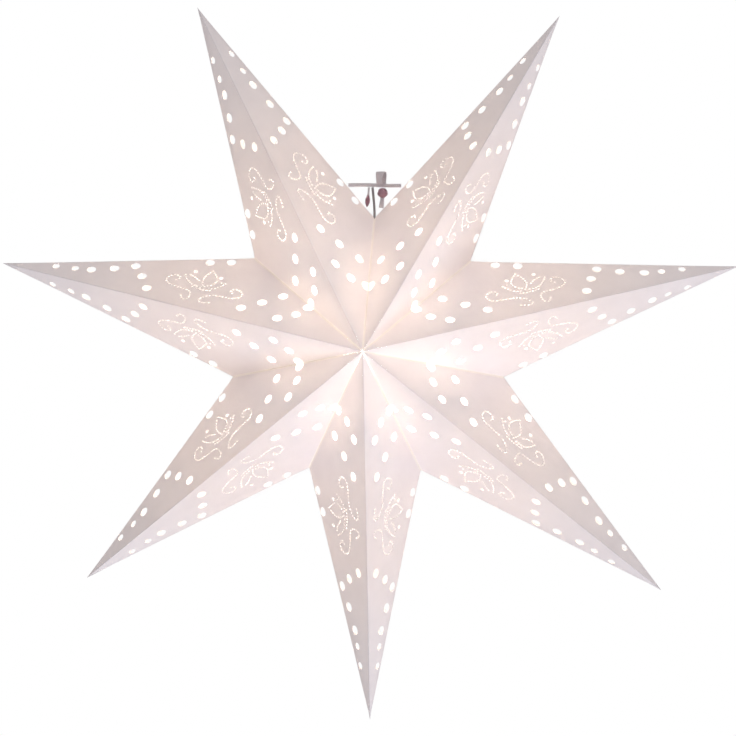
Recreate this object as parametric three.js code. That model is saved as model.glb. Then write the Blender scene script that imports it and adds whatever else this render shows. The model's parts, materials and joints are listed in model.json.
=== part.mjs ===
// A seven-pointed folded paper star lantern, in millimetres, +Z up, its front facing -Y.
// The origin is the middle of the tie cord, where a hook takes hold. The star hangs below it.
// Points and valleys are numbered clockwise as seen from the front, starting at the top seam.
import * as THREE from 'three';
import { ConvexGeometry } from 'three/addons/geometries/ConvexGeometry.js';
import * as BufferGeometryUtils from 'three/addons/utils/BufferGeometryUtils.js';

// ---- Star --------------------------------------------------------------------------------------
const HANG_DROP = 130;           // from the hanging point down to the star's centre
const HALF_DEPTH = 98;           // from the plane of the tips to either apex

// Bearings are degrees clockwise from up. Notch k is before point k. Each point was folded by hand, so
// no two are quite alike.
const POINT_BEARINGS = [29.7, 77.4, 129.6, 180, 231, 283, 333.1];
const TIP_RADII = [304, 300, 301, 297, 293, 303, 305];
const NOTCH_BEARINGS = [2, 49, 102, 157.3, 207, 258.3, 308];
const NOTCH_RADII = [104, 106, 109, 105, 107, 112, 117];

// ---- Paper -------------------------------------------------------------------------------------
const PAPER = 0.5;               // panel thickness
const CREASE_GAP = 0.15;         // from each outer face to the crease line it folds on
const BACK_GAP = 1.3;            // the same at the back ridges and valleys, which close the ring
const RIDGE_RELIEF = 1.5;        // inner face to the crease, so that a ridge can fold flat
const EDGE_RELIEF = 0.6;         // the same at the silhouette folds, which only flatten
const CORNER_CUT = 4;            // small holes where creases meet
const LEAD_HOLE_CUT = 9;         // the larger hole at the top notch, for the lamp's cord

const SEAM_TAB = { width: 11, thickness: 0.5, standOff: 1.0, fromApex: 30, fromNotch: 14 };
const CLOSING_FLAP = { width: 11, thickness: 0.5, standOff: 1.0, fromApex: 34, fromNotch: 46, apart: 0.45 };

// ---- Lamp, heights above the star's centre ---------------------------------------------------
const BULB = { radius: 22.5, centre: 0, neckRadius: 10.5, neckTop: 30 };
const BULB_CAP = { radius: 6.8, bottom: 30.3, top: 50 };
const BULB_CONTACT = { radius: 3.2, bottom: 50.3, top: 52 };
const SLEEVE = { inner: 7.3, outer: 8.1, bottom: 32, top: 52.5 };
const SHELL = { outer: 13.5, inner: 8.4, bottom: 31, top: 62, floor: 57 };
const SKIRT = { outer: 19, inner: 13.8, bottom: 35, top: 40 };
const HOLDER_CONTACT = { radius: 3.5, bottom: 52.4, top: 56.6 };
const HOLDER_CAP = { bottomRadius: 13.5, topRadius: 6, bottom: 62.3, top: 74 };
const GLAND = { outer: 4.5, inner: 2.2, bottom: 74.3, top: 82 };
const EYE = { centre: 86.4, radius: 3.2, wire: 0.9 };

// ---- Tie, heights from the hanging point -----------------------------------------------------
const TIE = { radius: 1.5, left: -17.2, right: 24.8, sag: 0.5 };
const KNOT = { x: 10, z: -6.4, width: 8.6, height: 8.4, depth: 7 };
const BOW = { x: 8.6, width: 9.6, height: 9, thickness: 1.6, depth: 4.2, foot: 1.9 };
const STEM = { x: 9.3, top: -11, bottom: -18.3, width: 3.8, depth: 2.4 };
const TAIL = { radius: 0.9, beadRadius: 2, bead: 9.2, length: 15.9, x: -0.8, z: -1.9, lean: 6 };
const HANGER_RADIUS = 1;
const HANGER_ROUTE = [
  [2, 0, -1.9], [2.6, 0, -8], [3.3, 0, -16], [3.6, 0, -24], [3.3, 0, -30], [2.2, 0, -35], [0.9, 0, -38.6],
];

const TAU = 2 * Math.PI;
const PIECES = 48;               // sides of a round piece

const finishes = {
  paper: { color: 0xf3ece6, roughness: 0.85, metalness: 0 },
  seamPaper: { color: 0xf6e9dc, roughness: 0.9, metalness: 0 },
  opalGlass: { color: 0xfdf6ea, roughness: 0.35, metalness: 0 },
  brass: { color: 0xc9a65a, roughness: 0.35, metalness: 1 },
  whitePlastic: { color: 0xe9e6e0, roughness: 0.45, metalness: 0 },
  steel: { color: 0xb9bcc0, roughness: 0.35, metalness: 1 },
  mauveCord: { color: 0xa59a9f, roughness: 0.9, metalness: 0 },
  plumCord: { color: 0x6d3c4b, roughness: 0.9, metalness: 0 },
  greyCord: { color: 0x6c6466, roughness: 0.9, metalness: 0 },
};
const materials = {};
for (const [name, look] of Object.entries(finishes)) {
  materials[name] = new THREE.MeshStandardMaterial(look);
}

const part = new THREE.Group();
const star = new THREE.Group();  // everything measured from the star's centre
star.position.z = -HANG_DROP;
part.add(star);

function addMesh(parent, name, geometry, material) {
  const mesh = new THREE.Mesh(geometry, material);
  mesh.name = name;
  parent.add(mesh);
  return mesh;
}

// ---- Places on the star ----------------------------------------------------------------------
const POINTS = POINT_BEARINGS.length;
const frontApex = new THREE.Vector3(0, -HALF_DEPTH, 0);
const backApex = new THREE.Vector3(0, HALF_DEPTH, 0);

function around(bearing, radius) {
  const angle = THREE.MathUtils.degToRad(bearing);
  return new THREE.Vector3(radius * Math.sin(angle), 0, radius * Math.cos(angle));
}

function tipOf(index) {
  return around(POINT_BEARINGS[index], TIP_RADII[index]);
}

function notchOf(index) {
  const k = index % POINTS;
  return around(NOTCH_BEARINGS[k], NOTCH_RADII[k]);
}

// ---- Flat plates with bevelled edges ---------------------------------------------------------
// Each side is a line, { point, along, outer, inner }, with outer and inner the distances that the
// outer and inner faces keep from it. They bound the plate, in any order.
function clipped(polygon, point, inward) {
  const kept = [];
  polygon.forEach((corner, i) => {
    const next = polygon[(i + 1) % polygon.length];
    const here = corner.clone().sub(point).dot(inward);
    const there = next.clone().sub(point).dot(inward);
    if (here >= 0) kept.push(corner);
    if (here * there < 0) kept.push(corner.clone().lerp(next, here / (here - there)));
  });
  return kept;
}

function insetFace(sides, face, middle, outward) {
  const reach = 2 * TIP_RADII[0];
  const u = sides[0].along;
  const v = new THREE.Vector3().crossVectors(outward, u);
  let polygon = [[-1, -1], [1, -1], [1, 1], [-1, 1]].map(
    ([a, b]) => middle.clone().addScaledVector(u, a * reach).addScaledVector(v, b * reach),
  );
  for (const side of sides) {
    const inward = middle.clone().sub(side.point);
    inward.addScaledVector(side.along, -inward.dot(side.along)).normalize();
    polygon = clipped(polygon, side.point.clone().addScaledVector(inward, side[face]), inward);
  }
  return polygon;
}

function bevelledPlate(sides, outward, thickness) {
  const middle = new THREE.Vector3();
  for (const side of sides) middle.addScaledVector(side.point, 1 / sides.length);
  const outer = insetFace(sides, 'outer', middle, outward);
  const inner = insetFace(sides, 'inner', middle, outward);
  for (const corner of inner) corner.addScaledVector(outward, -thickness);
  return new ConvexGeometry([...outer, ...inner]);
}

function sideThrough(from, to, outer, inner) {
  return { point: from.clone(), along: to.clone().sub(from).normalize(), outer, inner };
}

// Cuts the corner between two sides, a given distance along each of them.
function cornerCut(corner, before, after, distance) {
  const from = corner.clone().addScaledVector(before, distance);
  const to = corner.clone().addScaledVector(after, distance);
  return sideThrough(from, to, 0, 0);
}

// One of a point's four panels: apex to tip is the ridge, tip to notch the silhouette fold, and
// notch to apex the valley.
function panelGeometry(apex, tip, notch, isFront, isTopNotch) {
  const creaseGap = isFront ? CREASE_GAP : BACK_GAP;
  const ridge = tip.clone().sub(apex).normalize();
  const edge = notch.clone().sub(tip).normalize();
  const valley = apex.clone().sub(notch).normalize();
  const back = (direction) => direction.clone().negate();
  const notchCut = isTopNotch ? LEAD_HOLE_CUT : CORNER_CUT;
  const sides = [
    cornerCut(apex, back(valley), ridge, CORNER_CUT),
    sideThrough(apex, tip, creaseGap, RIDGE_RELIEF + creaseGap),
    cornerCut(tip, back(ridge), edge, CORNER_CUT),
    sideThrough(tip, notch, CREASE_GAP, EDGE_RELIEF),
    cornerCut(notch, back(edge), valley, notchCut),
    sideThrough(notch, apex, creaseGap, creaseGap),
  ];
  const outward = new THREE.Vector3().crossVectors(ridge, edge).normalize();
  if (outward.y * apex.y < 0) outward.negate();
  return bevelledPlate(sides, outward, PAPER);
}

for (let i = 0; i < POINTS; i += 1) {
  const tip = tipOf(i);
  const halves = [['left', notchOf(i), i === 0], ['right', notchOf(i + 1), i === POINTS - 1]];
  for (const [half, notch, isTopNotch] of halves) {
    const name = (side) => `point_${i + 1}_${side}_${half}`;
    addMesh(star, name('front'), panelGeometry(frontApex, tip, notch, true, isTopNotch), materials.paper);
    addMesh(star, name('back'), panelGeometry(backApex, tip, notch, false, isTopNotch), materials.paper);
  }
}

// ---- Tabs behind the valleys -----------------------------------------------------------------
// A strip standing on the inside of a valley, in the plane of the star's axis and the valley.
function valleyStrip(apex, notch, strip, sideways) {
  const length = notch.distanceTo(apex);
  const along = notch.clone().sub(apex).normalize();
  const middle = apex.clone().lerp(notch, 0.5);
  const inward = middle.clone().negate();
  inward.addScaledVector(along, -inward.dot(along)).normalize();
  const across = new THREE.Vector3().crossVectors(along, inward).normalize();
  if (across.x * notch.z - across.z * notch.x < 0) across.negate();
  const corners = [];
  for (const [run, rise] of [
    [strip.fromApex, strip.standOff],
    [length - strip.fromNotch, strip.standOff],
    [length - strip.fromNotch - strip.width, strip.standOff + strip.width],
    [strip.fromApex + strip.width, strip.standOff + strip.width],
  ]) {
    for (const half of [-0.5, 0.5]) {
      const corner = apex.clone().addScaledVector(along, run).addScaledVector(inward, rise);
      corners.push(corner.addScaledVector(across, sideways + half * strip.thickness));
    }
  }
  return new ConvexGeometry(corners);
}

for (const [side, apex] of [['front', frontApex], ['back', backApex]]) {
  for (let k = 1; k < POINTS; k += 1) {
    const geometry = valleyStrip(apex, notchOf(k), SEAM_TAB, 0);
    addMesh(star, `seam_tab_${k}_${k + 1}_${side}`, geometry, materials.seamPaper);
  }
  // The top seam isn't glued: each panel there carries a flap, and the two meet back to back.
  for (const [half, sign] of [['left', -1], ['right', 1]]) {
    const geometry = valleyStrip(apex, notchOf(0), CLOSING_FLAP, sign * CLOSING_FLAP.apart);
    addMesh(star, `closing_flap_${side}_${half}`, geometry, materials.seamPaper);
  }
}

// ---- Lamp --------------------------------------------------------------------------------------
// A solid of revolution about +Z from [radius, height] corners that start and end on the axis.
function turned(profile) {
  const geometry = new THREE.LatheGeometry(profile.map(([r, z]) => new THREE.Vector2(r, z)), PIECES);
  return geometry.rotateX(Math.PI / 2);
}

// The same for a hollow ring, whose corners close on themselves.
function turnedRing(outer, inner, bottom, top, bevel) {
  return turned([
    [inner, bottom], [outer - bevel, bottom], [outer, bottom + bevel], [outer, top - bevel],
    [outer - bevel, top], [inner, top], [inner, bottom],
  ]);
}

function bulbGlass() {
  const profile = [];
  const joinAngle = Math.asin(BULB.neckRadius / BULB.radius);
  const steps = 20;
  for (let i = 0; i <= steps; i += 1) {
    const angle = Math.PI - (Math.PI - joinAngle) * (i / steps);
    profile.push([BULB.radius * Math.sin(angle), BULB.centre + BULB.radius * Math.cos(angle)]);
  }
  profile[0][0] = 0;
  profile.push([BULB.neckRadius - 1, BULB.neckTop - 4], [BULB.neckRadius - 3, BULB.neckTop], [0, BULB.neckTop]);
  return turned(profile);
}

function plug(size) {
  return turned([[0, size.bottom], [size.radius, size.bottom], [size.radius, size.top], [0, size.top]]);
}

// The shell is open below, and its floor carries the centre contact.
function shellGeometry() {
  const bevel = 1.2;
  return turned([
    [0, SHELL.floor], [SHELL.inner, SHELL.floor], [SHELL.inner, SHELL.bottom],
    [SHELL.outer - bevel, SHELL.bottom], [SHELL.outer, SHELL.bottom + bevel],
    [SHELL.outer, SHELL.top], [0, SHELL.top],
  ]);
}

function capGeometry() {
  const { bottomRadius, topRadius, bottom, top } = HOLDER_CAP;
  const profile = [[0, bottom], [bottomRadius, bottom]];
  const steps = 6;
  for (let i = 0; i <= steps; i += 1) {
    const angle = (Math.PI / 2) * (i / steps);
    const radius = topRadius + (bottomRadius - topRadius) * Math.cos(angle);
    profile.push([radius, bottom + 2 + (top - bottom - 2) * Math.sin(angle)]);
  }
  profile.push([0, top]);
  return turned(profile);
}

addMesh(star, 'bulb_glass', bulbGlass(), materials.opalGlass);
addMesh(star, 'bulb_screw_cap', plug(BULB_CAP), materials.brass);
addMesh(star, 'bulb_contact', plug(BULB_CONTACT), materials.steel);
const sleeve = turnedRing(SLEEVE.outer, SLEEVE.inner, SLEEVE.bottom, SLEEVE.top, 0.2);
addMesh(star, 'lampholder_sleeve', sleeve, materials.brass);
addMesh(star, 'lampholder_shell', shellGeometry(), materials.whitePlastic);
const skirt = turnedRing(SKIRT.outer, SKIRT.inner, SKIRT.bottom, SKIRT.top, 0.8);
addMesh(star, 'lampholder_skirt', skirt, materials.whitePlastic);
addMesh(star, 'lampholder_contact', plug(HOLDER_CONTACT), materials.brass);
addMesh(star, 'lampholder_cap', capGeometry(), materials.whitePlastic);
const gland = turnedRing(GLAND.outer, GLAND.inner, GLAND.bottom, GLAND.top, 0.5);
addMesh(star, 'cable_gland', gland, materials.whitePlastic);
const eye = new THREE.TorusGeometry(EYE.radius, EYE.wire, 12, 32);
eye.rotateX(Math.PI / 2);
eye.translate(0, 0, EYE.centre);
addMesh(star, 'hanging_eye', eye, materials.steel);

// ---- Tie and hanging cord -----------------------------------------------------------------------
function cordAlong(points, radius, steps, sides) {
  const section = new THREE.Shape();
  for (let i = 0; i < sides; i += 1) {
    const angle = TAU * (i / sides);
    const place = [radius * Math.cos(angle), radius * Math.sin(angle)];
    if (i === 0) section.moveTo(...place);
    else section.lineTo(...place);
  }
  section.closePath();
  const path = new THREE.CatmullRomCurve3(points.map((p) => new THREE.Vector3(...p)), false, 'centripetal');
  return new THREE.ExtrudeGeometry(section, { steps, extrudePath: path, bevelEnabled: false });
}

function ellipsoid(width, depth, height, x, z) {
  const geometry = new THREE.SphereGeometry(0.5, 24, 14);
  geometry.scale(width, depth, height);
  geometry.translate(x, 0, z);
  return geometry;
}

const tieMiddle = (TIE.left + TIE.right) / 2;
const tieRoute = [[TIE.left, 0, 0], [0, 0, 0], [tieMiddle + 8, 0, -TIE.sag], [TIE.right, 0, -TIE.sag]];
addMesh(part, 'tie_cord', cordAlong(tieRoute, TIE.radius, 12, 12), materials.mauveCord);

// The bow is a flat band bent up and over above the cord, open from front to back.
function bowGeometry() {
  const outline = new THREE.Shape();
  const half = BOW.width / 2;
  const top = BOW.foot + BOW.height;
  outline.moveTo(BOW.x - half, BOW.foot);
  outline.bezierCurveTo(BOW.x - half, top + 1, BOW.x + half, top + 1, BOW.x + half, BOW.foot);
  outline.lineTo(BOW.x + half - BOW.thickness, BOW.foot);
  const inner = half - BOW.thickness;
  const innerTop = top - BOW.thickness;
  outline.bezierCurveTo(BOW.x + inner, innerTop + 1, BOW.x - inner, innerTop + 1, BOW.x - inner, BOW.foot);
  outline.closePath();
  const geometry = new THREE.ExtrudeGeometry(outline, { depth: BOW.depth, bevelEnabled: false, curveSegments: 14 });
  geometry.rotateX(Math.PI / 2);
  return geometry.translate(0, BOW.depth / 2, 0);
}

addMesh(part, 'bow_loop', bowGeometry(), materials.mauveCord);
addMesh(part, 'bow_knot', ellipsoid(KNOT.width, KNOT.depth, KNOT.height, KNOT.x, KNOT.z), materials.plumCord);
const stem = new THREE.BoxGeometry(STEM.width, STEM.depth, STEM.top - STEM.bottom);
stem.translate(STEM.x, 0, (STEM.top + STEM.bottom) / 2);
addMesh(part, 'bow_tail_right', stem, materials.mauveCord);

// The left tail is a thin strand that ends in a drop-shaped knot.
function tailGeometry() {
  const profile = [[0, -TAIL.length]];
  const steps = 8;
  for (let i = 1; i <= steps; i += 1) {
    const along = i / steps;
    const swell = TAIL.beadRadius * Math.sin(Math.PI * along ** 0.8);
    profile.push([Math.max(TAIL.radius, swell), TAIL.bead * along - TAIL.length]);
  }
  profile.push([TAIL.radius, 0], [0, 0]);
  const geometry = turned(profile);
  geometry.rotateY(THREE.MathUtils.degToRad(TAIL.lean));
  return geometry.translate(TAIL.x, 0, TAIL.z);
}

addMesh(part, 'bow_tail_left', tailGeometry(), materials.plumCord);
addMesh(part, 'hanging_cord', cordAlong(HANGER_ROUTE, HANGER_RADIUS, 14, 8), materials.greyCord);

part.traverse((item) => {
  if (!item.isMesh) return;
  item.geometry.deleteAttribute('normal');
  item.geometry.deleteAttribute('uv');
  item.geometry = BufferGeometryUtils.mergeVertices(item.geometry, 1e-4);
});

export default part;
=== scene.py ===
"""A seven-pointed folded paper star lantern, lit from inside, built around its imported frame.

Metres, +Z up, the star's front facing -Y. Places come from the frame: the creases are its hinge lines.
"""
import json
import math
import random

import bpy
from mathutils import Matrix, Vector, noise
from mathutils.geometry import delaunay_2d_cdt, intersect_line_line


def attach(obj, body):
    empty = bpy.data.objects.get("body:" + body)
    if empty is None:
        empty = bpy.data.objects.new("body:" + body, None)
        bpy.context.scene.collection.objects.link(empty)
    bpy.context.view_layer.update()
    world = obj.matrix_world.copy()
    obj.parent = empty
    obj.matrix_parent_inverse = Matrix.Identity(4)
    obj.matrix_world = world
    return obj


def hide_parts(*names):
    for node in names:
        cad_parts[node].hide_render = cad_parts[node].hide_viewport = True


MM = 0.001
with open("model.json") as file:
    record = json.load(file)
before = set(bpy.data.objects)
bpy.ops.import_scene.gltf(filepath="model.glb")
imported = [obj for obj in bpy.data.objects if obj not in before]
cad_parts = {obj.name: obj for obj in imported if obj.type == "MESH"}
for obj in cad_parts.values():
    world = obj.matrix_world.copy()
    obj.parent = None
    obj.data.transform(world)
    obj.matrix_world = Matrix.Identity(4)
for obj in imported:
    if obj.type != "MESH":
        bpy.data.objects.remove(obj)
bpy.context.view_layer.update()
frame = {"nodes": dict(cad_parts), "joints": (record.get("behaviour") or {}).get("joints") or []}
joints = {j["name"]: j for j in frame["joints"]}

# ---- Places from the frame ----------------------------------------------------------------------
POINTS = 7
FRONT_APEX = Vector(joints["star_fold"]["pos_m"])
CENTRE = Vector((FRONT_APEX.x, 0, FRONT_APEX.z))
BACK_APEX = 2 * CENTRE - FRONT_APEX
APEXES = {"front": FRONT_APEX, "back": BACK_APEX}


def edge_line(point, half):
    """A silhouette fold as two points: a tip, and another point along the fold."""
    hinge = joints[f"edge_{point}_{half}"]
    start = Vector(hinge["pos_m"])
    return start, start + Vector(hinge["axis"])


def find_notch(before, after):
    return intersect_line_line(*edge_line(before, "right"), *edge_line(after, "left"))[0]


TIPS = {i: edge_line(i, "left")[0] for i in range(1, POINTS + 1)}
NOTCHES = {i: find_notch((i - 2) % POINTS + 1, i) for i in range(1, POINTS + 1)}
NOTCHES[POINTS + 1] = NOTCHES[1]

# ---- Camera --------------------------------------------------------------------------------------
VIEW_AZIMUTH = 3.3
VIEW_ELEVATION = 1.6
VIEW_DISTANCE = 2.6
VIEW_WIDTH = 0.5859              # what the frame takes in at the star's own plane
VIEW_AIM = Vector((-0.0016, 0, -0.0155))
SENSOR = 36


def make_camera():
    azimuth, elevation = math.radians(VIEW_AZIMUTH), math.radians(VIEW_ELEVATION)
    back = Vector((
        math.sin(azimuth) * math.cos(elevation),
        -math.cos(azimuth) * math.cos(elevation),
        math.sin(elevation),
    ))
    data = bpy.data.cameras.new("camera")
    data.sensor_width = SENSOR
    data.lens = SENSOR * VIEW_DISTANCE / VIEW_WIDTH
    data.clip_start, data.clip_end = 0.05, 60
    camera = bpy.data.objects.new("camera", data)
    camera.location = CENTRE + VIEW_AIM + back * VIEW_DISTANCE
    camera.rotation_euler = (-back).to_track_quat("-Z", "Y").to_euler()
    bpy.context.collection.objects.link(camera)
    bpy.context.scene.camera = camera


make_camera()


# ---- Node helpers ----------------------------------------------------------------------------
def new_material(name):
    material = bpy.data.materials.new(name)
    material.use_nodes = True
    tree = material.node_tree
    return material, tree, tree.nodes["Principled BSDF"], tree.nodes["Material Output"]


def add_node(tree, kind, inputs=None, **settings):
    node = tree.nodes.new(kind)
    for key, value in settings.items():
        setattr(node, key, value)
    for key, value in (inputs or {}).items():
        if isinstance(value, bpy.types.NodeSocket):
            tree.links.new(value, node.inputs[key])
        else:
            node.inputs[key].default_value = value
    return node


def noise_of(tree, scale, detail=3.0, roughness=0.55, coordinates=None):
    place = coordinates or add_node(tree, "ShaderNodeTexCoord").outputs["Object"]
    return add_node(tree, "ShaderNodeTexNoise", {
        "Vector": place, "Scale": scale, "Detail": detail, "Roughness": roughness,
    }).outputs["Fac"]


def ramp(tree, value, low, high, dark, light):
    """A colour that goes from dark to light as value goes from low to high."""
    node = add_node(tree, "ShaderNodeValToRGB", {"Fac": value})
    stops = node.color_ramp.elements
    stops[0].position, stops[0].color = low, (*dark, 1)
    stops[1].position, stops[1].color = high, (*light, 1)
    return node.outputs["Color"]


def bump(tree, height, strength, distance, normal=None):
    inputs = {"Height": height, "Strength": strength, "Distance": distance}
    if normal is not None:
        inputs["Normal"] = normal
    return add_node(tree, "ShaderNodeBump", inputs).outputs["Normal"]


# ---- Materials ---------------------------------------------------------------------------------
PAPER_GLOW = (0.94, 0.825, 0.76)
GLOW_SHARES = [
    (0.085, 0.155), (0.098, 0.108), (0.12, 0.2), (0.17, 0.235), (0.23, 0.122), (0.3, 0.04),
]
GLOW_REACH = 0.3
SEAM_GLOW_WIDTH = 1.5                 # the paler line along a glued valley, a painted glow of light leaking through the seam, in millimetres


def paper_bump(tree):
    """Pulp: soft clouds, and fine fibres over them."""
    clouds = noise_of(tree, 420, 4)
    stretch = add_node(tree, "ShaderNodeMapping", {
        "Vector": add_node(tree, "ShaderNodeTexCoord").outputs["Object"],
        "Scale": (1.0, 1.0, 3.5),
    }).outputs["Vector"]
    fibres = noise_of(tree, 1500, 5, 0.7, stretch)
    coarse = bump(tree, clouds, 0.18, 0.0004)
    return bump(tree, fibres, 0.22, 0.00012, coarse)


def from_to(tree, value, start, end, first, last):
    """A number that goes from first to last as value goes from start to end."""
    return add_node(tree, "ShaderNodeMapRange", {
        "Value": value, "From Min": start, "From Max": end, "To Min": first, "To Max": last,
    }).outputs["Result"]


def graph(tree, value, full, points):
    """A number read off a line through the points, for a value up to full."""
    scaled = from_to(tree, value, 0, full, 0, 1)
    node = add_node(tree, "ShaderNodeValToRGB", {"Fac": scaled})
    stops = node.color_ramp.elements
    while len(stops) < len(points):
        stops.new(1)
    for stop, (at, level) in zip(stops, points):
        stop.position, stop.color = at / full, (level, level, level, 1)
    return node.outputs["Color"]


def reach_of(tree):
    """The distance from the star's centre, with the star at rest."""
    place = add_node(tree, "ShaderNodeTexCoord").outputs["Object"]
    reach = add_node(tree, "ShaderNodeVectorMath", {0: place, 1: CENTRE}, operation="DISTANCE")
    return reach.outputs["Value"]


def outer_paper_material():
    """The outer face of a sheet, with a painted glow along its glued valley. The attribute seam is the
    distance to that valley.
    """
    material, tree, shader, output = new_material("paper_outside")
    seam = add_node(tree, "ShaderNodeAttribute", attribute_name="seam").outputs["Fac"]
    # Paler along the glued valley: painted glow, standing in for the lamp's light leaking through the seam.
    painted_seam_glow = from_to(tree, seam, 0.5 * SEAM_GLOW_WIDTH, SEAM_GLOW_WIDTH, 1, 0)
    plain = ramp(tree, noise_of(tree, 38, 5), 0.3, 0.7, (0.84, 0.785, 0.81), (0.89, 0.835, 0.86))
    colour = add_node(tree, "ShaderNodeMix", {
        "Factor": painted_seam_glow, 6: plain, 7: (0.93, 0.88, 0.85, 1),
    }, data_type="RGBA").outputs[2]
    normal = paper_bump(tree)
    tree.links.new(colour, shader.inputs["Base Color"])
    tree.links.new(normal, shader.inputs["Normal"])
    shader.inputs["Roughness"].default_value = 0.82
    shader.inputs["Specular IOR Level"].default_value = 0.25
    share = graph(tree, reach_of(tree), GLOW_REACH, GLOW_SHARES)
    through = add_node(tree, "ShaderNodeBsdfTranslucent", {"Color": (*PAPER_GLOW, 1), "Normal": normal})
    mix = add_node(tree, "ShaderNodeMixShader", {
        "Fac": share, 1: shader.outputs["BSDF"], 2: through.outputs["BSDF"],
    })
    tree.links.new(mix.outputs["Shader"], output.inputs["Surface"])
    return material


INNER_CLEAR = 0.4                # share of the light that passes a sheet's inner face
INNER_GLOW = (1.0, 0.93, 0.82)   # painted glow of the inner face: emission standing in for the lamp's light, thrown about inside and gathered in the points
INNER_GLOWS = [(0.1, 0.0), (0.16, 0.25), (0.22, 0.45), (0.3, 0.45)]


def inner_paper_material():
    """The inner face of a sheet: it gives back part of the lamp's light, lets the rest through, and carries a
    painted glow that grows towards the points.
    """
    material, tree, shader, output = new_material("paper_inside")
    tree.links.new(ramp(tree, noise_of(tree, 60, 4), 0.3, 0.7, (0.9, 0.87, 0.83), (0.95, 0.93, 0.9)),
                   shader.inputs["Base Color"])
    shader.inputs["Roughness"].default_value = 0.85
    # The emission is painted light: the paper glows as a stand-in for the lamp's light thrown about inside.
    shader.inputs["Emission Color"].default_value = (*INNER_GLOW, 1)
    painted_glow = graph(tree, reach_of(tree), GLOW_REACH, INNER_GLOWS)
    tree.links.new(painted_glow, shader.inputs["Emission Strength"])
    clear = add_node(tree, "ShaderNodeBsdfTransparent")
    mix = add_node(tree, "ShaderNodeMixShader", {
        "Fac": INNER_CLEAR, 1: shader.outputs["BSDF"], 2: clear.outputs["BSDF"],
    })
    tree.links.new(mix.outputs["Shader"], output.inputs["Surface"])
    return material


def seam_paper_material():
    """The doubled paper of a glue tab."""
    material, tree, shader, output = new_material("seam_paper")
    normal = paper_bump(tree)
    tree.links.new(ramp(tree, noise_of(tree, 60, 4), 0.3, 0.7, (0.88, 0.84, 0.79), (0.93, 0.9, 0.86)),
                   shader.inputs["Base Color"])
    tree.links.new(normal, shader.inputs["Normal"])
    shader.inputs["Roughness"].default_value = 0.9
    through = add_node(tree, "ShaderNodeBsdfTranslucent", {"Color": (0.96, 0.86, 0.74, 1)})
    mix = add_node(tree, "ShaderNodeMixShader", {
        "Fac": 0.4, 1: shader.outputs["BSDF"], 2: through.outputs["BSDF"],
    })
    tree.links.new(mix.outputs["Shader"], output.inputs["Surface"])
    return material


TAIL_TURNS_PLUM = (-0.0095, -0.0065)    # heights between which the left tail turns from grey to plum


def yarn_material(name, dark, light, twist_scale, upper=None):
    material, tree, shader, _ = new_material(name)
    place = add_node(tree, "ShaderNodeTexCoord").outputs["Object"]
    slanted = add_node(tree, "ShaderNodeMapping", {
        "Vector": place, "Rotation": (0.6, 0.4, 0.8),
    }).outputs["Vector"]
    strands = add_node(tree, "ShaderNodeTexWave", {
        "Vector": slanted, "Scale": twist_scale, "Distortion": 2.5, "Detail": 3.0, "Detail Scale": 2.0,
    }).outputs["Fac"]
    fuzz = noise_of(tree, 2600, 4, 0.7)
    # The colour follows the twist's bump: darker in the grooves between strands, which is painted shade, over
    # the yarn's own streaked tone.
    colour = ramp(tree, strands, 0.15, 0.85, dark, light)
    if upper:
        height = add_node(tree, "ShaderNodeSeparateXYZ", {"Vector": place}).outputs["Z"]
        colour = add_node(tree, "ShaderNodeMix", {
            "Factor": from_to(tree, height, *TAIL_TURNS_PLUM, 0, 1), 6: colour, 7: (*upper, 1),
        }, data_type="RGBA").outputs[2]
    tree.links.new(colour, shader.inputs["Base Color"])
    twisted = bump(tree, strands, 0.6, 0.0005)
    tree.links.new(bump(tree, fuzz, 0.4, 0.0002, twisted), shader.inputs["Normal"])
    shader.inputs["Roughness"].default_value = 0.9
    shader.inputs["Sheen Weight"].default_value = 0.25
    return material


def plastic_material():
    material, tree, shader, _ = new_material("white_plastic")
    tree.links.new(ramp(tree, noise_of(tree, 90, 4), 0.3, 0.75, (0.78, 0.76, 0.72), (0.84, 0.82, 0.79)),
                   shader.inputs["Base Color"])
    tree.links.new(ramp(tree, noise_of(tree, 160, 3), 0.3, 0.7, (0.3,) * 3, (0.42,) * 3),
                   shader.inputs["Roughness"])
    tree.links.new(bump(tree, noise_of(tree, 1800, 3), 0.1, 0.0001), shader.inputs["Normal"])
    return material


def metal_material(name, dark, light, roughness):
    material, tree, shader, _ = new_material(name)
    tree.links.new(ramp(tree, noise_of(tree, 120, 5), 0.3, 0.7, dark, light), shader.inputs["Base Color"])
    shader.inputs["Metallic"].default_value = 1.0
    shader.inputs["Roughness"].default_value = roughness
    rings = add_node(tree, "ShaderNodeTexWave", {"Scale": 350.0, "Distortion": 1.0}, bands_direction="Z")
    tree.links.new(add_node(tree, "ShaderNodeTexCoord").outputs["Object"], rings.inputs["Vector"])
    tree.links.new(bump(tree, rings.outputs["Fac"], 0.15, 0.0001), shader.inputs["Normal"])
    return material


BULB_GLOW = (1.0, 0.93, 0.84)
BULB_STRENGTH = 51.0


def bulb_material():
    material, tree, shader, _ = new_material("opal_glass")
    shader.inputs["Base Color"].default_value = (0.95, 0.92, 0.87, 1)
    shader.inputs["Roughness"].default_value = 0.4
    shader.inputs["Emission Color"].default_value = (*BULB_GLOW, 1)
    shader.inputs["Emission Strength"].default_value = BULB_STRENGTH
    tree.links.new(bump(tree, noise_of(tree, 300, 3), 0.05, 0.0002), shader.inputs["Normal"])
    return material


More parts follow.
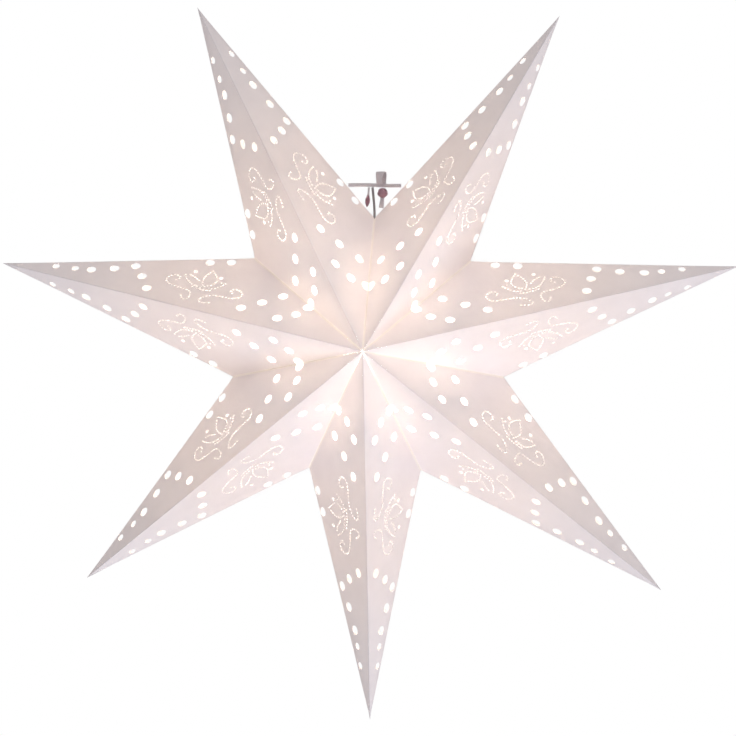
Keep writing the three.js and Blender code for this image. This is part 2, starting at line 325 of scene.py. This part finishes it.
paper_outside = outer_paper_material()
paper_inside = inner_paper_material()
seam_paper = seam_paper_material()
white_plastic = plastic_material()
brass = metal_material("brass", (0.6, 0.44, 0.2), (0.74, 0.57, 0.3), 0.28)
steel = metal_material("steel", (0.52, 0.53, 0.55), (0.66, 0.67, 0.69), 0.3)
opal_glass = bulb_material()
mauve_yarn = yarn_material("mauve_yarn", (0.5, 0.44, 0.46), (0.84, 0.77, 0.8), 260)
plum_yarn = yarn_material("plum_yarn", (0.16, 0.05, 0.075), (0.62, 0.38, 0.44), 260)
tail_yarn = yarn_material("tail_yarn", (0.16, 0.05, 0.075), (0.5, 0.26, 0.31), 260, (0.72, 0.66, 0.68))
grey_yarn = yarn_material("grey_yarn", (0.2, 0.18, 0.185), (0.42, 0.38, 0.39), 420)


def dress(node, material):
    slots = frame["nodes"][node].data.materials
    slots.clear()
    slots.append(material)


# ---- The cut sheet -------------------------------------------------------------------------------
# Every panel is cut to one template, in millimetres: the apex at the origin, the ridge along +u to the
# tip, and the notch on the +v side.
SHEET_RIDGE = 315.6
SHEET_NOTCH = (124.7, 78.5)
PAPER = 0.3
PUNCH = 3.8                      # radius of a punched hole
PUNCHES = [
    (66, 23), (84, 41), (78, 14), (97, 28), (110, 16),     # fan by the apex
    (140, 67), (156, 60),                                  # outer edge, by the notch
    (191, 12), (201, 25), (211, 35),                       # chevron across the point
    (226, 26), (243, 18), (256, 15), (272, 12),            # row along the tip
]
TIP_PUNCH = 2.9                  # the holes beyond this place shrink with the tip
TIP_PUNCH_FROM = 250
SEAM_PUNCH_AT = 0.47             # share of the valley where a hole straddles the seam
SEAM_PUNCH = 4.3
SEAM_PUNCH_IN = 2.2              # its centre's distance from the seam
PIN = 0.8                        # radius of a pinhole
PIN_PITCH = 2.7
PIN_APART = 2.2                  # two pinholes keep this far apart


def bezier(points, steps=24):
    """A smooth line through the control points given, as a Catmull-Rom spline."""
    line = []
    ends = [points[0], *points, points[-1]]
    for a, b, c, d in zip(ends, ends[1:], ends[2:], ends[3:]):
        for step in range(steps):
            t = step / steps
            line.append(tuple(
                0.5 * (2 * b[k] + (c[k] - a[k]) * t + (2 * a[k] - 5 * b[k] + 4 * c[k] - d[k]) * t * t
                       + (3 * b[k] - a[k] - 3 * c[k] + d[k]) * t ** 3)
                for k in (0, 1)))
    line.append(points[-1])
    return line


def pricked(line, pitch):
    """Places a pitch apart along a line."""
    lengths = [math.dist(a, b) for a, b in zip(line, line[1:])]
    count = max(1, round(sum(lengths) / pitch))
    step = sum(lengths) / count
    places, run, due = [], 0.0, 0.0
    for a, b, length in zip(line, line[1:], lengths):
        while length > 0 and due <= run + length + 1e-9:
            share = (due - run) / length
            places.append((a[0] + (b[0] - a[0]) * share, a[1] + (b[1] - a[1]) * share))
            due += step
        run += length
    return places


# Pricked strokes: two scrolls that spring from under a lotus, its petals, and its sepals.
STROKES = [
    [(136.5, 12.5), (141.6, 11.0), (145.8, 12.2), (144.8, 16.4), (141.2, 20.2), (137.0, 22.3), (132.0, 23.0),
     (125.0, 23.6), (118.5, 25.0), (115.6, 29.2), (117.4, 34.0), (122.0, 35.8), (125.8, 33.2), (124.0, 30.2)],
    [(161.4, 13.4), (158.6, 9.8), (155.2, 11.6), (155.0, 16.4), (158.2, 21.4), (164.8, 22.2), (171.0, 22.8),
     (177.0, 24.4), (180.8, 28.6), (179.4, 34.2), (175.0, 36.6), (171.0, 34.0), (172.8, 30.6)],
    [(148.2, 30.4), (142.6, 35.0), (141.4, 41.0), (144.8, 46.6), (149.2, 51.0)],
    [(148.2, 30.4), (151.8, 35.4), (153.0, 41.0), (151.6, 46.2), (149.2, 51.0)],
    [(146.6, 29.6), (141.2, 29.8), (136.6, 33.6), (133.2, 40.4), (138.8, 38.6), (143.0, 34.6)],
    [(151.2, 29.0), (158.2, 29.6), (164.2, 33.6), (168.8, 40.4), (161.6, 39.8), (155.6, 36.0)],
    [(142.2, 26.8), (146.0, 26.2), (149.8, 26.0), (153.8, 26.2), (157.6, 26.8)],
]
SEEDS = [(139.5, 45.0), (162.5, 45.6)]
SEED_RADIUS = 1.6


def thinned(places, apart):
    kept = []
    for place in places:
        if all(math.dist(place, other) >= apart for other in kept):
            kept.append(place)
    return kept


PINS = thinned([place for stroke in STROKES for place in pricked(bezier(stroke), PIN_PITCH)], PIN_APART)


def template_holes():
    """(place, radius, sides) of every hole that lies wholly in a panel."""
    holes = []
    for place in PUNCHES:
        radius = TIP_PUNCH if place[0] > TIP_PUNCH_FROM else PUNCH
        holes.append((place, radius, 22))
    holes += [(place, SEED_RADIUS, 12) for place in SEEDS]
    holes += [(place, PIN, 7) for place in PINS]
    return holes


# ---- Panels --------------------------------------------------------------------------------------
CREASE_ROW = 1.1                 # where a crease's rounding begins
CREASE_ROUND = 0.25              # how far a silhouette's crease line is drawn in
RIDGE_ROUND = 0.003              # and a ridge's, which stays shut when the star is open
RIDGE_CLOSING = math.radians(28)  # how much further a ridge folds, which its mitre leaves room for
# Each back panel's valley side is cut back by this much at the apex and SEAM_END_GAP at the notch, which
# leaves the folded star room: its back creases don't stay quite in line.
BACK_SEAM_GAP = 1.35
SEAM_END_GAP = 0.3
GRID = 7.5
BULGE = 1.0                      # how far a panel may bow in or out
EDGE_STEP = 5.0
VALLEY_GAP = 0.02


def inset_triangle(corners, insets):
    """The triangle's corners after each side moves in. Side i runs from corner i to the next."""
    lines = []
    middle = sum(corners, Vector((0, 0))) / 3
    for i, inset in enumerate(insets):
        a, b = corners[i], corners[(i + 1) % 3]
        along = (b - a).normalized()
        inward = Vector((-along.y, along.x))
        if inward.dot(middle - a) < 0:
            inward = -inward
        lines.append((a + inward * inset, along))
    result = []
    for i in range(3):
        (p, u), (q, w) = lines[i - 1], lines[i]
        run = (q - p).cross(w) / u.cross(w)
        result.append(p + u * run)
    return result


def side_distances(corners, place):
    distances = []
    for i in range(3):
        a, b = corners[i], corners[(i + 1) % 3]
        along = (b - a).normalized()
        distances.append(abs(along.cross(place - a)))
    return distances


def kept_inside(corners, place, room):
    """The place, moved in from any side that it is nearer to than room."""
    middle = sum(corners, Vector((0, 0))) / 3
    for i in range(3):
        a, b = corners[i], corners[(i + 1) % 3]
        along = (b - a).normalized()
        inward = Vector((-along.y, along.x))
        if inward.dot(middle - a) < 0:
            inward = -inward
        short = room - inward.dot(place - a)
        if short > 0:
            place = place + inward * short
    return place


def panel_plan(corners):
    """The flat plan of a panel: points, what each one is, triangles and boundary loops.

    corners are apex, tip and notch in the panel's plane, in millimetres. A point is kept as
    ("side", side, share) on the outline, or ("free", place).
    """
    shear = Matrix(((corners[1].x / SHEET_RIDGE,
                     (corners[2].x - SHEET_NOTCH[0] * corners[1].x / SHEET_RIDGE) / SHEET_NOTCH[1]),
                    (0, corners[2].y / SHEET_NOTCH[1])))
    places, kinds, groups, loops = [], [], [], []

    def add(place, kind, group):
        places.append(place)
        kinds.append(kind)
        groups.append(group)
        return len(places) - 1

    outline = []
    valley_length = (corners[0] - corners[2]).length
    half_bite = math.sqrt(SEAM_PUNCH ** 2 - SEAM_PUNCH_IN ** 2)
    bite = half_bite / valley_length
    bite_at = 1 - SEAM_PUNCH_AT
    for side in range(3):
        a, b = corners[side], corners[(side + 1) % 3]
        steps = max(2, round((b - a).length / EDGE_STEP))
        shares = [i / steps for i in range(steps)]
        if side == 2:
            shares = [s for s in shares if abs(s - bite_at) > bite * 1.15]
            before = [s for s in shares if s < bite_at]
            after = [s for s in shares if s > bite_at]
            outline += [add(a.lerp(b, s), ("side", side, s), 0) for s in before]
            along = (b - a).normalized()
            inward = Vector((-along.y, along.x))
            if inward.dot(corners[1] - a) < 0:
                inward = -inward
            centre = a.lerp(b, bite_at) + inward * SEAM_PUNCH_IN
            outline.append(add(a.lerp(b, bite_at - bite), ("side", side, bite_at - bite), -1))
            arc_steps = 16
            dip = math.asin(SEAM_PUNCH_IN / SEAM_PUNCH)
            for i in range(1, arc_steps):
                angle = -dip + (math.pi + 2 * dip) * i / arc_steps
                place = centre + (-along * math.cos(angle) + inward * math.sin(angle)) * SEAM_PUNCH
                outline.append(add(place, ("free", place), -1))
            outline.append(add(a.lerp(b, bite_at + bite), ("side", side, bite_at + bite), -1))
            outline += [add(a.lerp(b, s), ("side", side, s), 0) for s in after]
        else:
            outline += [add(a.lerp(b, s), ("side", side, s), 0) for s in shares]
    loops.append(outline)

    holes = [(centre, SEAM_PUNCH)]
    for number, (place, radius, sides) in enumerate(template_holes(), start=1):
        room = radius + CREASE_ROW + 0.35
        centre = kept_inside(corners, shear @ Vector(place), room)
        if min(side_distances(corners, centre)) < room - 0.1:
            continue
        holes.append((centre, radius))
        turn = 0.3 * number
        ring = []
        for i in range(sides):
            angle = turn + math.tau * i / sides
            spot = centre + Vector((math.cos(angle), math.sin(angle))) * radius
            ring.append(add(spot, ("free", spot), number))
        loops.append(ring)

    rows = inset_triangle(corners, (CREASE_ROW,) * 3)
    for side in range(3):
        a, b = rows[side], rows[(side + 1) % 3]
        steps = max(2, round((b - a).length / EDGE_STEP))
        for i in range(steps):
            spot = a.lerp(b, i / steps)
            if all((spot - c).length > r + 0.4 for c, r in holes):
                add(spot, ("free", spot), 0)
    across = round(corners[1].x / GRID)
    up = round(corners[2].y / GRID)
    for i in range(across + 1):
        for j in range(up + 1):
            spot = Vector((i * GRID + (j % 2) * GRID / 2, j * GRID))
            inside = all(
                (corners[(k + 1) % 3] - corners[k]).cross(spot - corners[k]) > 0 for k in range(3))
            if not inside or min(side_distances(corners, spot)) < CREASE_ROW + 2:
                continue
            if all((spot - c).length > r + 0.9 for c, r in holes):
                add(spot, ("free", spot), 0)

    edges = [(loop[i - 1], loop[i]) for loop in loops for i in range(len(loop))]
    _, _, faces, originals, _, _ = delaunay_2d_cdt(places, edges, [], 0, 1e-6)
    back = {new: old[0] for new, old in enumerate(originals) if old}
    triangles = []
    for face in faces:
        corner_ids = [back[i] for i in face]
        marks = {groups[i] for i in corner_ids}
        if len(marks) == 1 and marks != {0}:
            continue
        triangles.append(corner_ids)
    return kinds, triangles, loops


def plan_insets(half_dihedrals, depth):
    """How far each side of a face at that depth keeps from its crease line, on the mitre plane."""
    ridge, silhouette, valley = (depth / math.tan(half) for half in half_dihedrals)
    return RIDGE_ROUND + ridge, CREASE_ROUND + silhouette, VALLEY_GAP - valley


def trimmed(corners, gap):
    """The corners with the valley side cut back by gap at the apex and SEAM_END_GAP at the notch."""
    apex, tip, notch = corners
    at_apex = (tip - apex).angle(notch - apex)
    at_notch = (tip - notch).angle(apex - notch)
    return [
        apex + (tip - apex).normalized() * gap / math.sin(at_apex),
        tip,
        notch + (tip - notch).normalized() * SEAM_END_GAP / math.sin(at_notch),
    ]


def panel_mesh(name, apex, tip, notch, outward, half_dihedrals, seed, seam_gap):
    """A panel as a closed sheet of paper with mitred, rounded edges."""
    u = (tip - apex).normalized()
    v = (notch - apex) - u * (notch - apex).dot(u)
    v.normalize()
    corners = [Vector(((p - apex).dot(u), (p - apex).dot(v))) / MM for p in (apex, tip, notch)]
    if seam_gap:
        corners = trimmed(corners, seam_gap)
    kinds, triangles, loops = panel_plan(corners)
    random.seed(seed)
    bow = random.uniform(-0.35, 1.0) * BULGE
    drift = Vector((random.uniform(0, 50), random.uniform(0, 50), 0))
    highest = (corners[2].y / 3) ** 3

    def lifted(place):
        distances = side_distances(corners, place)
        near = min(1.0, max(0.0, (min(distances) - CREASE_ROW) / 14))
        hump = distances[0] * distances[1] * distances[2] / highest
        ripple = noise.noise(Vector((place.x * 0.022, place.y * 0.03, 0)) + drift) * 0.55
        fine = noise.noise(Vector((place.x * 0.09, place.y * 0.09, 5)) + drift) * 0.08
        return bow * min(1.0, hump) + (ripple + fine) * near * near

    outer_corners = inset_triangle(corners, plan_insets(half_dihedrals, 0))
    inner_corners = inset_triangle(corners, plan_insets(half_dihedrals, PAPER))
    ridge_half, silhouette_half, _ = half_dihedrals
    drops = [RIDGE_ROUND * math.tan(ridge_half), CREASE_ROUND * math.tan(silhouette_half), 0]

    def placed(kind, face_corners, depth):
        if kind[0] == "side":
            _, side, share = kind
            place = face_corners[side].lerp(face_corners[(side + 1) % 3], share)
            drop = drops[side]
            if share == 0:
                drop = min(drop, drops[side - 1])
            height = -depth - drop
        else:
            place = kind[1]
            height = lifted(place) - depth
        return apex + (u * place.x + v * place.y + outward * height) * MM

    points = [placed(kind, outer_corners, 0) for kind in kinds]
    points += [placed(kind, inner_corners, PAPER) for kind in kinds]
    count = len(kinds)
    facing = u.cross(v).dot(outward) > 0
    faces, marks = [], []
    for triangle in triangles:
        a, b, c = triangle
        pa, pb, pc = points[a], points[b], points[c]
        if (pb - pa).cross(pc - pa).dot(outward) < 0:
            a, c = c, a
        faces.append((a, b, c))
        marks.append(0)
        faces.append((c + count, b + count, a + count))
        marks.append(1)
    for number, loop in enumerate(loops):
        for i, start in enumerate(loop):
            end = loop[(i + 1) % len(loop)]
            quad = (start, end, end + count, start + count)
            outline_first = number == 0
            if outline_first == facing:
                quad = quad[::-1]
            faces.append(quad)
            marks.append(0)
    mesh = bpy.data.meshes.new(name)
    mesh.from_pydata([tuple(p) for p in points], [], faces)
    mesh.materials.append(paper_outside)
    mesh.materials.append(paper_inside)
    mesh.polygons.foreach_set("material_index", marks)
    mesh.polygons.foreach_set("use_smooth", [True] * len(faces))
    rim = {frozenset((loop[i - 1] + layer, loop[i] + layer))
           for loop in loops for i in range(len(loop)) for layer in (0, count)}
    seam = mesh.attributes.new("seam", "FLOAT", "POINT")
    flat = [corners[kind[1]].lerp(corners[(kind[1] + 1) % 3], kind[2]) if kind[0] == "side" else kind[1]
            for kind in kinds]
    distances = [side_distances(corners, place)[2] for place in flat]
    seam.data.foreach_set("value", distances * 2)
    for edge in mesh.edges:
        if frozenset(edge.vertices) in rim:
            edge.use_edge_sharp = True
    mesh.update()
    return mesh


def outward_normal(apex, tip, notch):
    normal = (tip - apex).cross(notch - apex).normalized()
    if normal.dot(apex - CENTRE) < 0:
        normal = -normal
    return normal


def fold_between(first, second):
    return math.acos(max(-1, min(1, first.dot(second))))


def make_panels():
    normals = {}
    for point in range(1, POINTS + 1):
        for half, notch in (("left", NOTCHES[point]), ("right", NOTCHES[point + 1])):
            for side, apex in APEXES.items():
                normals[point, side, half] = outward_normal(apex, TIPS[point], notch)
    for point in range(1, POINTS + 1):
        for half, notch in (("left", NOTCHES[point]), ("right", NOTCHES[point + 1])):
            beside = (point - 2) % POINTS + 1 if half == "left" else point % POINTS + 1
            other_half = "right" if half == "left" else "left"
            for side, apex in APEXES.items():
                mine = normals[point, side, half]
                neighbours = (
                    normals[point, side, other_half],
                    normals[point, "back" if side == "front" else "front", half],
                    normals[beside, side, other_half],
                )
                halves = [(math.pi - fold_between(mine, other)) / 2 for other in neighbours]
                halves[0] -= RIDGE_CLOSING / 2
                node = f"point_{point}_{side}_{half}"
                seed = point * 10 + 2 * (side == "back") + (half == "left")
                gap = BACK_SEAM_GAP if side == "back" else 0
                mesh = panel_mesh(node, apex, TIPS[point], notch, mine, halves, seed, gap)
                panel = bpy.data.objects.new(f"paper_{node}", mesh)
                bpy.context.collection.objects.link(panel)
                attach(panel, node)
                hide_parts(node)


make_panels()

# ---- Lamp and seam tabs --------------------------------------------------------------------------
for node in frame["nodes"]:
    if node.startswith(("seam_tab", "closing_flap")):
        dress(node, seam_paper)
for node in ("lampholder_shell", "lampholder_skirt", "lampholder_cap", "cable_gland"):
    dress(node, white_plastic)
for node in ("lampholder_sleeve", "lampholder_contact", "bulb_screw_cap"):
    dress(node, brass)
for node in ("bulb_contact", "hanging_eye"):
    dress(node, steel)
dress("bulb_glass", opal_glass)

# ---- Tie ------------------------------------------------------------------------------------------
# Routes are in millimetres, in the frame, whose origin is the middle of the tie.
TIE_ROUTE = [(-17.2, 0, 0), (-8, 0, 0.1), (0, 0, 0), (11.8, 0, -0.5), (24.8, 0, -0.5)]
TIE_THICK = 3.0
HANGER_ROUTE = [
    (2, 0, -1.9), (2.6, 0, -8), (3.3, 0, -16), (3.6, 0, -24), (3.3, 0, -30), (2.2, 0, -35), (0.9, 0, -38.6),
]
HANGER_THICK = 2.0
PLIES = 3
PLY_DEPTH = 0.16                 # how deep the grooves between plies are, as a share of the radius
TAIL_ROUTE = [(-0.8, 0, -1.9), (-1.3, 0, -7), (-2.0, 0, -13), (-2.45, 0, -17.6)]
TAIL_RADII = [(0, 0.95), (0.3, 0.8), (0.45, 1.15), (0.62, 1.95), (0.76, 1.85), (0.9, 1.1), (1, 0.15)]
STEM_ROUTE = [(9.9, 0.1, -9.6), (9.6, -0.35, -12.4), (9.2, -0.1, -15.4), (8.9, 0.25, -18.2)]
STEM_WIDTH = 3.9
LOOP = {"x": 8.9, "foot": 0.9, "top": 10.4, "half": 3.0, "turn": 64, "width": 8.2}
BAND_THICK = 0.7
KNOT = {"x": 10, "z": -6.4, "width": 8.4, "depth": 6.8, "height": 8.2}


def smooth_route(points, steps):
    """Points along a smooth line through the given ones, evenly spaced."""
    ends = [Vector(points[0]), *map(Vector, points), Vector(points[-1])]
    line = []
    for a, b, c, d in zip(ends, ends[1:], ends[2:], ends[3:]):
        for step in range(40):
            t = step / 40
            line.append(0.5 * (2 * b + (c - a) * t + (2 * a - 5 * b + 4 * c - d) * t * t
                               + (3 * b - a - 3 * c + d) * t ** 3))
    line.append(ends[-1])
    runs = [0.0]
    for a, b in zip(line, line[1:]):
        runs.append(runs[-1] + (b - a).length)
    result, k = [], 0
    for i in range(steps + 1):
        due = runs[-1] * i / steps
        while k < len(runs) - 2 and runs[k + 1] < due:
            k += 1
        share = (due - runs[k]) / max(1e-9, runs[k + 1] - runs[k])
        result.append(line[k].lerp(line[k + 1], min(1.0, share)))
    return result, runs[-1]


def level_at(levels, share):
    """Reads a value off (share, value) pairs, with soft steps between them."""
    for (a, low), (b, high) in zip(levels, levels[1:]):
        if share <= b:
            t = (share - a) / (b - a)
            return low + (high - low) * t * t * (3 - 2 * t)
    return levels[-1][1]


def mesh_object(name, rings, material):
    """A skin over rings of points, capped at both ends."""
    size = len(rings[0])
    points = [tuple(point * MM) for ring in rings for point in ring]
    faces = []
    for row in range(len(rings) - 1):
        for i in range(size):
            j = (i + 1) % size
            a, b = row * size, (row + 1) * size
            faces.append((a + i, a + j, b + j, b + i))
    faces.append(tuple(range(size))[::-1])
    last = (len(rings) - 1) * size
    faces.append(tuple(range(last, last + size)))
    mesh = bpy.data.meshes.new(name)
    mesh.from_pydata(points, [], faces)
    mesh.materials.append(material)
    mesh.polygons.foreach_set("use_smooth", [True] * len(faces))
    made = bpy.data.objects.new(name, mesh)
    bpy.context.collection.objects.link(made)
    return made


def side_vectors(line, i):
    along = (line[min(i + 1, len(line) - 1)] - line[max(i - 1, 0)]).normalized()
    across = along.cross(Vector((0, 1, 0))).normalized()
    return across, Vector((0, 1, 0)) - along * along.y


def yarn(name, route, radii, pitch, material, steps, sides=24):
    """A laid yarn: a tube whose plies wind round it, its radius read off (share, radius) pairs."""
    line, length = smooth_route(route, steps)
    rings = []
    for i, place in enumerate(line):
        across, deep = side_vectors(line, i)
        radius = level_at(radii, i / steps)
        twist = math.tau * (i / steps) * length / pitch
        ring = []
        for k in range(sides):
            angle = math.tau * k / sides
            groove = abs(math.cos(PLIES * (angle - twist) / 2))
            reach = radius * (1 - PLY_DEPTH * (1 - groove) ** 2)
            ring.append(place + (across * math.cos(angle) + deep * math.sin(angle)) * reach)
        rings.append(ring)
    return mesh_object(name, rings, material), line


def band(name, line, widths, across, material):
    """A flat ribbon along a line, its width across it, with rounded edges."""
    rings = []
    count = len(line)
    for i, place in enumerate(line):
        along = (line[min(i + 1, count - 1)] - line[max(i - 1, 0)]).normalized()
        side = (across - along * across.dot(along)).normalized()
        thick = along.cross(side)
        half = level_at(widths, i / (count - 1)) / 2
        ring = []
        for k in range(16):
            angle = math.tau * k / 16
            c, d = math.cos(angle), math.sin(angle)
            wide = math.copysign(abs(c) ** 0.35, c) * half
            ring.append(place + side * wide + thick * math.copysign(abs(d) ** 0.8, d) * BAND_THICK / 2)
        rings.append(ring)
    return mesh_object(name, rings, material)


def placed_in_tie(piece, node):
    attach(piece, "tie_and_lamp")
    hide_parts(node)
    return piece


def make_cord(node, route, thick, pitch, material):
    made, line = yarn(f"yarn_{node}", route, [(0, thick / 2), (1, thick / 2)], pitch, material, 90)
    placed_in_tie(made, node)


def make_loop():
    turn = math.radians(LOOP["turn"])
    out = Vector((math.cos(turn), math.sin(turn), 0))
    line = []
    steps = 40
    for i in range(steps + 1):
        angle = math.pi * (1.16 - 1.32 * i / steps)
        height = LOOP["foot"] + (LOOP["top"] - LOOP["foot"]) * (0.42 + 0.58 * math.sin(angle))
        if i in (0, steps):
            height = LOOP["foot"] - 0.6
        line.append(Vector((LOOP["x"], 0, height)) + out * LOOP["half"] * math.cos(angle))
    across = Vector((-math.sin(turn), math.cos(turn), 0))
    widths = [(0, LOOP["width"] * 0.7), (0.5, LOOP["width"]), (1, LOOP["width"] * 0.7)]
    placed_in_tie(band("ribbon_bow_loop", line, widths, across, mauve_yarn), "bow_loop")


def make_knot():
    """Wraps of cord pulled tight: a ball with slanting rounds of cord over it."""
    rows, sides = 30, 40
    rings = []
    for row in range(rows + 1):
        polar = math.pi * (0.02 + 0.96 * row / rows)
        ring = []
        for k in range(sides):
            angle = math.tau * k / sides
            wrap = abs(math.sin(2.6 * polar + math.sin(angle) * 1.1))
            cross_wrap = abs(math.sin(1.5 * angle + polar))
            puff = 0.87 + 0.13 * max(wrap, 0.8 * cross_wrap if 0.9 < polar < 2.1 else 0)
            x = KNOT["width"] / 2 * math.sin(polar) * math.cos(angle)
            y = KNOT["depth"] / 2 * math.sin(polar) * math.sin(angle)
            z = KNOT["height"] / 2 * math.cos(polar)
            ring.append(Vector((KNOT["x"] + x * puff, y * puff, KNOT["z"] + z * puff)))
        rings.append(ring)
    placed_in_tie(mesh_object("wrapped_bow_knot", rings, plum_yarn), "bow_knot")


make_cord("tie_cord", TIE_ROUTE, TIE_THICK, 7.0, mauve_yarn)
make_cord("hanging_cord", HANGER_ROUTE, HANGER_THICK, 5.0, grey_yarn)
make_loop()
make_knot()
stem_line, _ = smooth_route(STEM_ROUTE, 20)
stem = band("ribbon_bow_tail_right", stem_line, [(0, STEM_WIDTH * 0.8), (1, STEM_WIDTH)], Vector((1, 0, 0)),
            mauve_yarn)
placed_in_tie(stem, "bow_tail_right")
tail, _ = yarn("yarn_bow_tail_left", TAIL_ROUTE, TAIL_RADII, 6.0, tail_yarn, 60)
placed_in_tie(tail, "bow_tail_left")

# ---- Stage -----------------------------------------------------------------------------------------
FLOOR_DROP = 3.6
WALL_AT = 5.0
SWEEP = 1.5
STAGE_REACH = 12.0
WALL_TOP = 9.0
WORLD_COLOUR = (1.0, 0.98, 0.975, 1)
WORLD_STRENGTH = 0.545
LIGHT_DISTANCE = 3.2
LIGHT_SIZE = 1.5
SPILL_PLACES = [(-0.027, 0, 0.05), (0.027, 0, 0.05)]    # light thrown back up past the lampholder
SPILL_POWER = 0.14
SPILL_SIZE = 0.012


def make_backdrop():
    """A pale floor far below the star, which sweeps up into a wall far behind it."""
    profile = [(-STAGE_REACH, -FLOOR_DROP), (WALL_AT, -FLOOR_DROP)]
    steps = 16
    for i in range(1, steps + 1):
        angle = math.pi / 2 * i / steps
        profile.append((WALL_AT + SWEEP * math.sin(angle), -FLOOR_DROP + SWEEP * (1 - math.cos(angle))))
    profile.append((WALL_AT + SWEEP, WALL_TOP))
    points = [(x, y, z) for y, z in profile for x in (-STAGE_REACH, STAGE_REACH)]
    faces = [(2 * i, 2 * i + 1, 2 * i + 3, 2 * i + 2) for i in range(len(profile) - 1)]
    mesh = bpy.data.meshes.new("backdrop")
    mesh.from_pydata(points, [], faces)
    mesh.polygons.foreach_set("use_smooth", [True] * len(faces))
    backdrop = bpy.data.objects.new("backdrop", mesh)
    bpy.context.collection.objects.link(backdrop)
    material, tree, shader, output = new_material("backdrop")
    shader.inputs["Base Color"].default_value = (0.8, 0.8, 0.8, 1)
    shader.inputs["Roughness"].default_value = 1.0
    shader.inputs["Specular IOR Level"].default_value = 0.0
    seen = add_node(tree, "ShaderNodeEmission", {"Color": (1, 1, 1, 1), "Strength": 1.0})
    mix = add_node(tree, "ShaderNodeMixShader", {
        "Fac": add_node(tree, "ShaderNodeLightPath").outputs["Is Camera Ray"],
        1: shader.outputs["BSDF"], 2: seen.outputs["Emission"],
    })
    tree.links.new(mix.outputs["Shader"], output.inputs["Surface"])
    mesh.materials.append(material)


def make_world():
    world = bpy.data.worlds.new("studio")
    world.use_nodes = True
    tree = world.node_tree
    background = tree.nodes["Background"]
    seen = add_node(tree, "ShaderNodeBackground", {"Color": (1, 1, 1, 1), "Strength": 1.0})
    background.inputs["Color"].default_value = WORLD_COLOUR
    background.inputs["Strength"].default_value = WORLD_STRENGTH
    mix = add_node(tree, "ShaderNodeMixShader", {
        "Fac": add_node(tree, "ShaderNodeLightPath").outputs["Is Camera Ray"],
        1: background.outputs["Background"], 2: seen.outputs["Background"],
    })
    tree.links.new(mix.outputs["Shader"], tree.nodes["World Output"].inputs["Surface"])
    bpy.context.scene.world = world


def make_light(name, bearing, off_axis, power, colour):
    """A soft disk in front of the star: its bearing as seen from there, and its angle off the view."""
    turn, lean = math.radians(bearing), math.radians(off_axis)
    place = LIGHT_DISTANCE * Vector((
        math.sin(turn) * math.sin(lean), -math.cos(lean), math.cos(turn) * math.sin(lean)))
    data = bpy.data.lights.new(name, "AREA")
    data.shape = "DISK"
    data.size = LIGHT_SIZE
    data.energy = power
    data.color = colour
    light = bpy.data.objects.new(name, data)
    light.location = CENTRE + place
    light.rotation_euler = (-place).to_track_quat("-Z", "Y").to_euler()
    bpy.context.collection.objects.link(light)


def make_spill():
    for place in SPILL_PLACES:
        data = bpy.data.lights.new("spill", "POINT")
        data.shadow_soft_size = SPILL_SIZE
        data.energy = SPILL_POWER
        data.color = BULB_GLOW
        light = bpy.data.objects.new("spill", data)
        light.location = CENTRE + Vector(place)
        light.visible_camera = False
        bpy.context.collection.objects.link(light)


make_backdrop()
make_world()
make_light("key", 160, 55, 45, (0.88, 0.92, 1.0))
make_light("fill", 45, 50, 10, (0.95, 0.97, 1.0))
make_spill()

scene = bpy.context.scene
scene.view_settings.view_transform = "Standard"
scene.view_settings.look = "None"
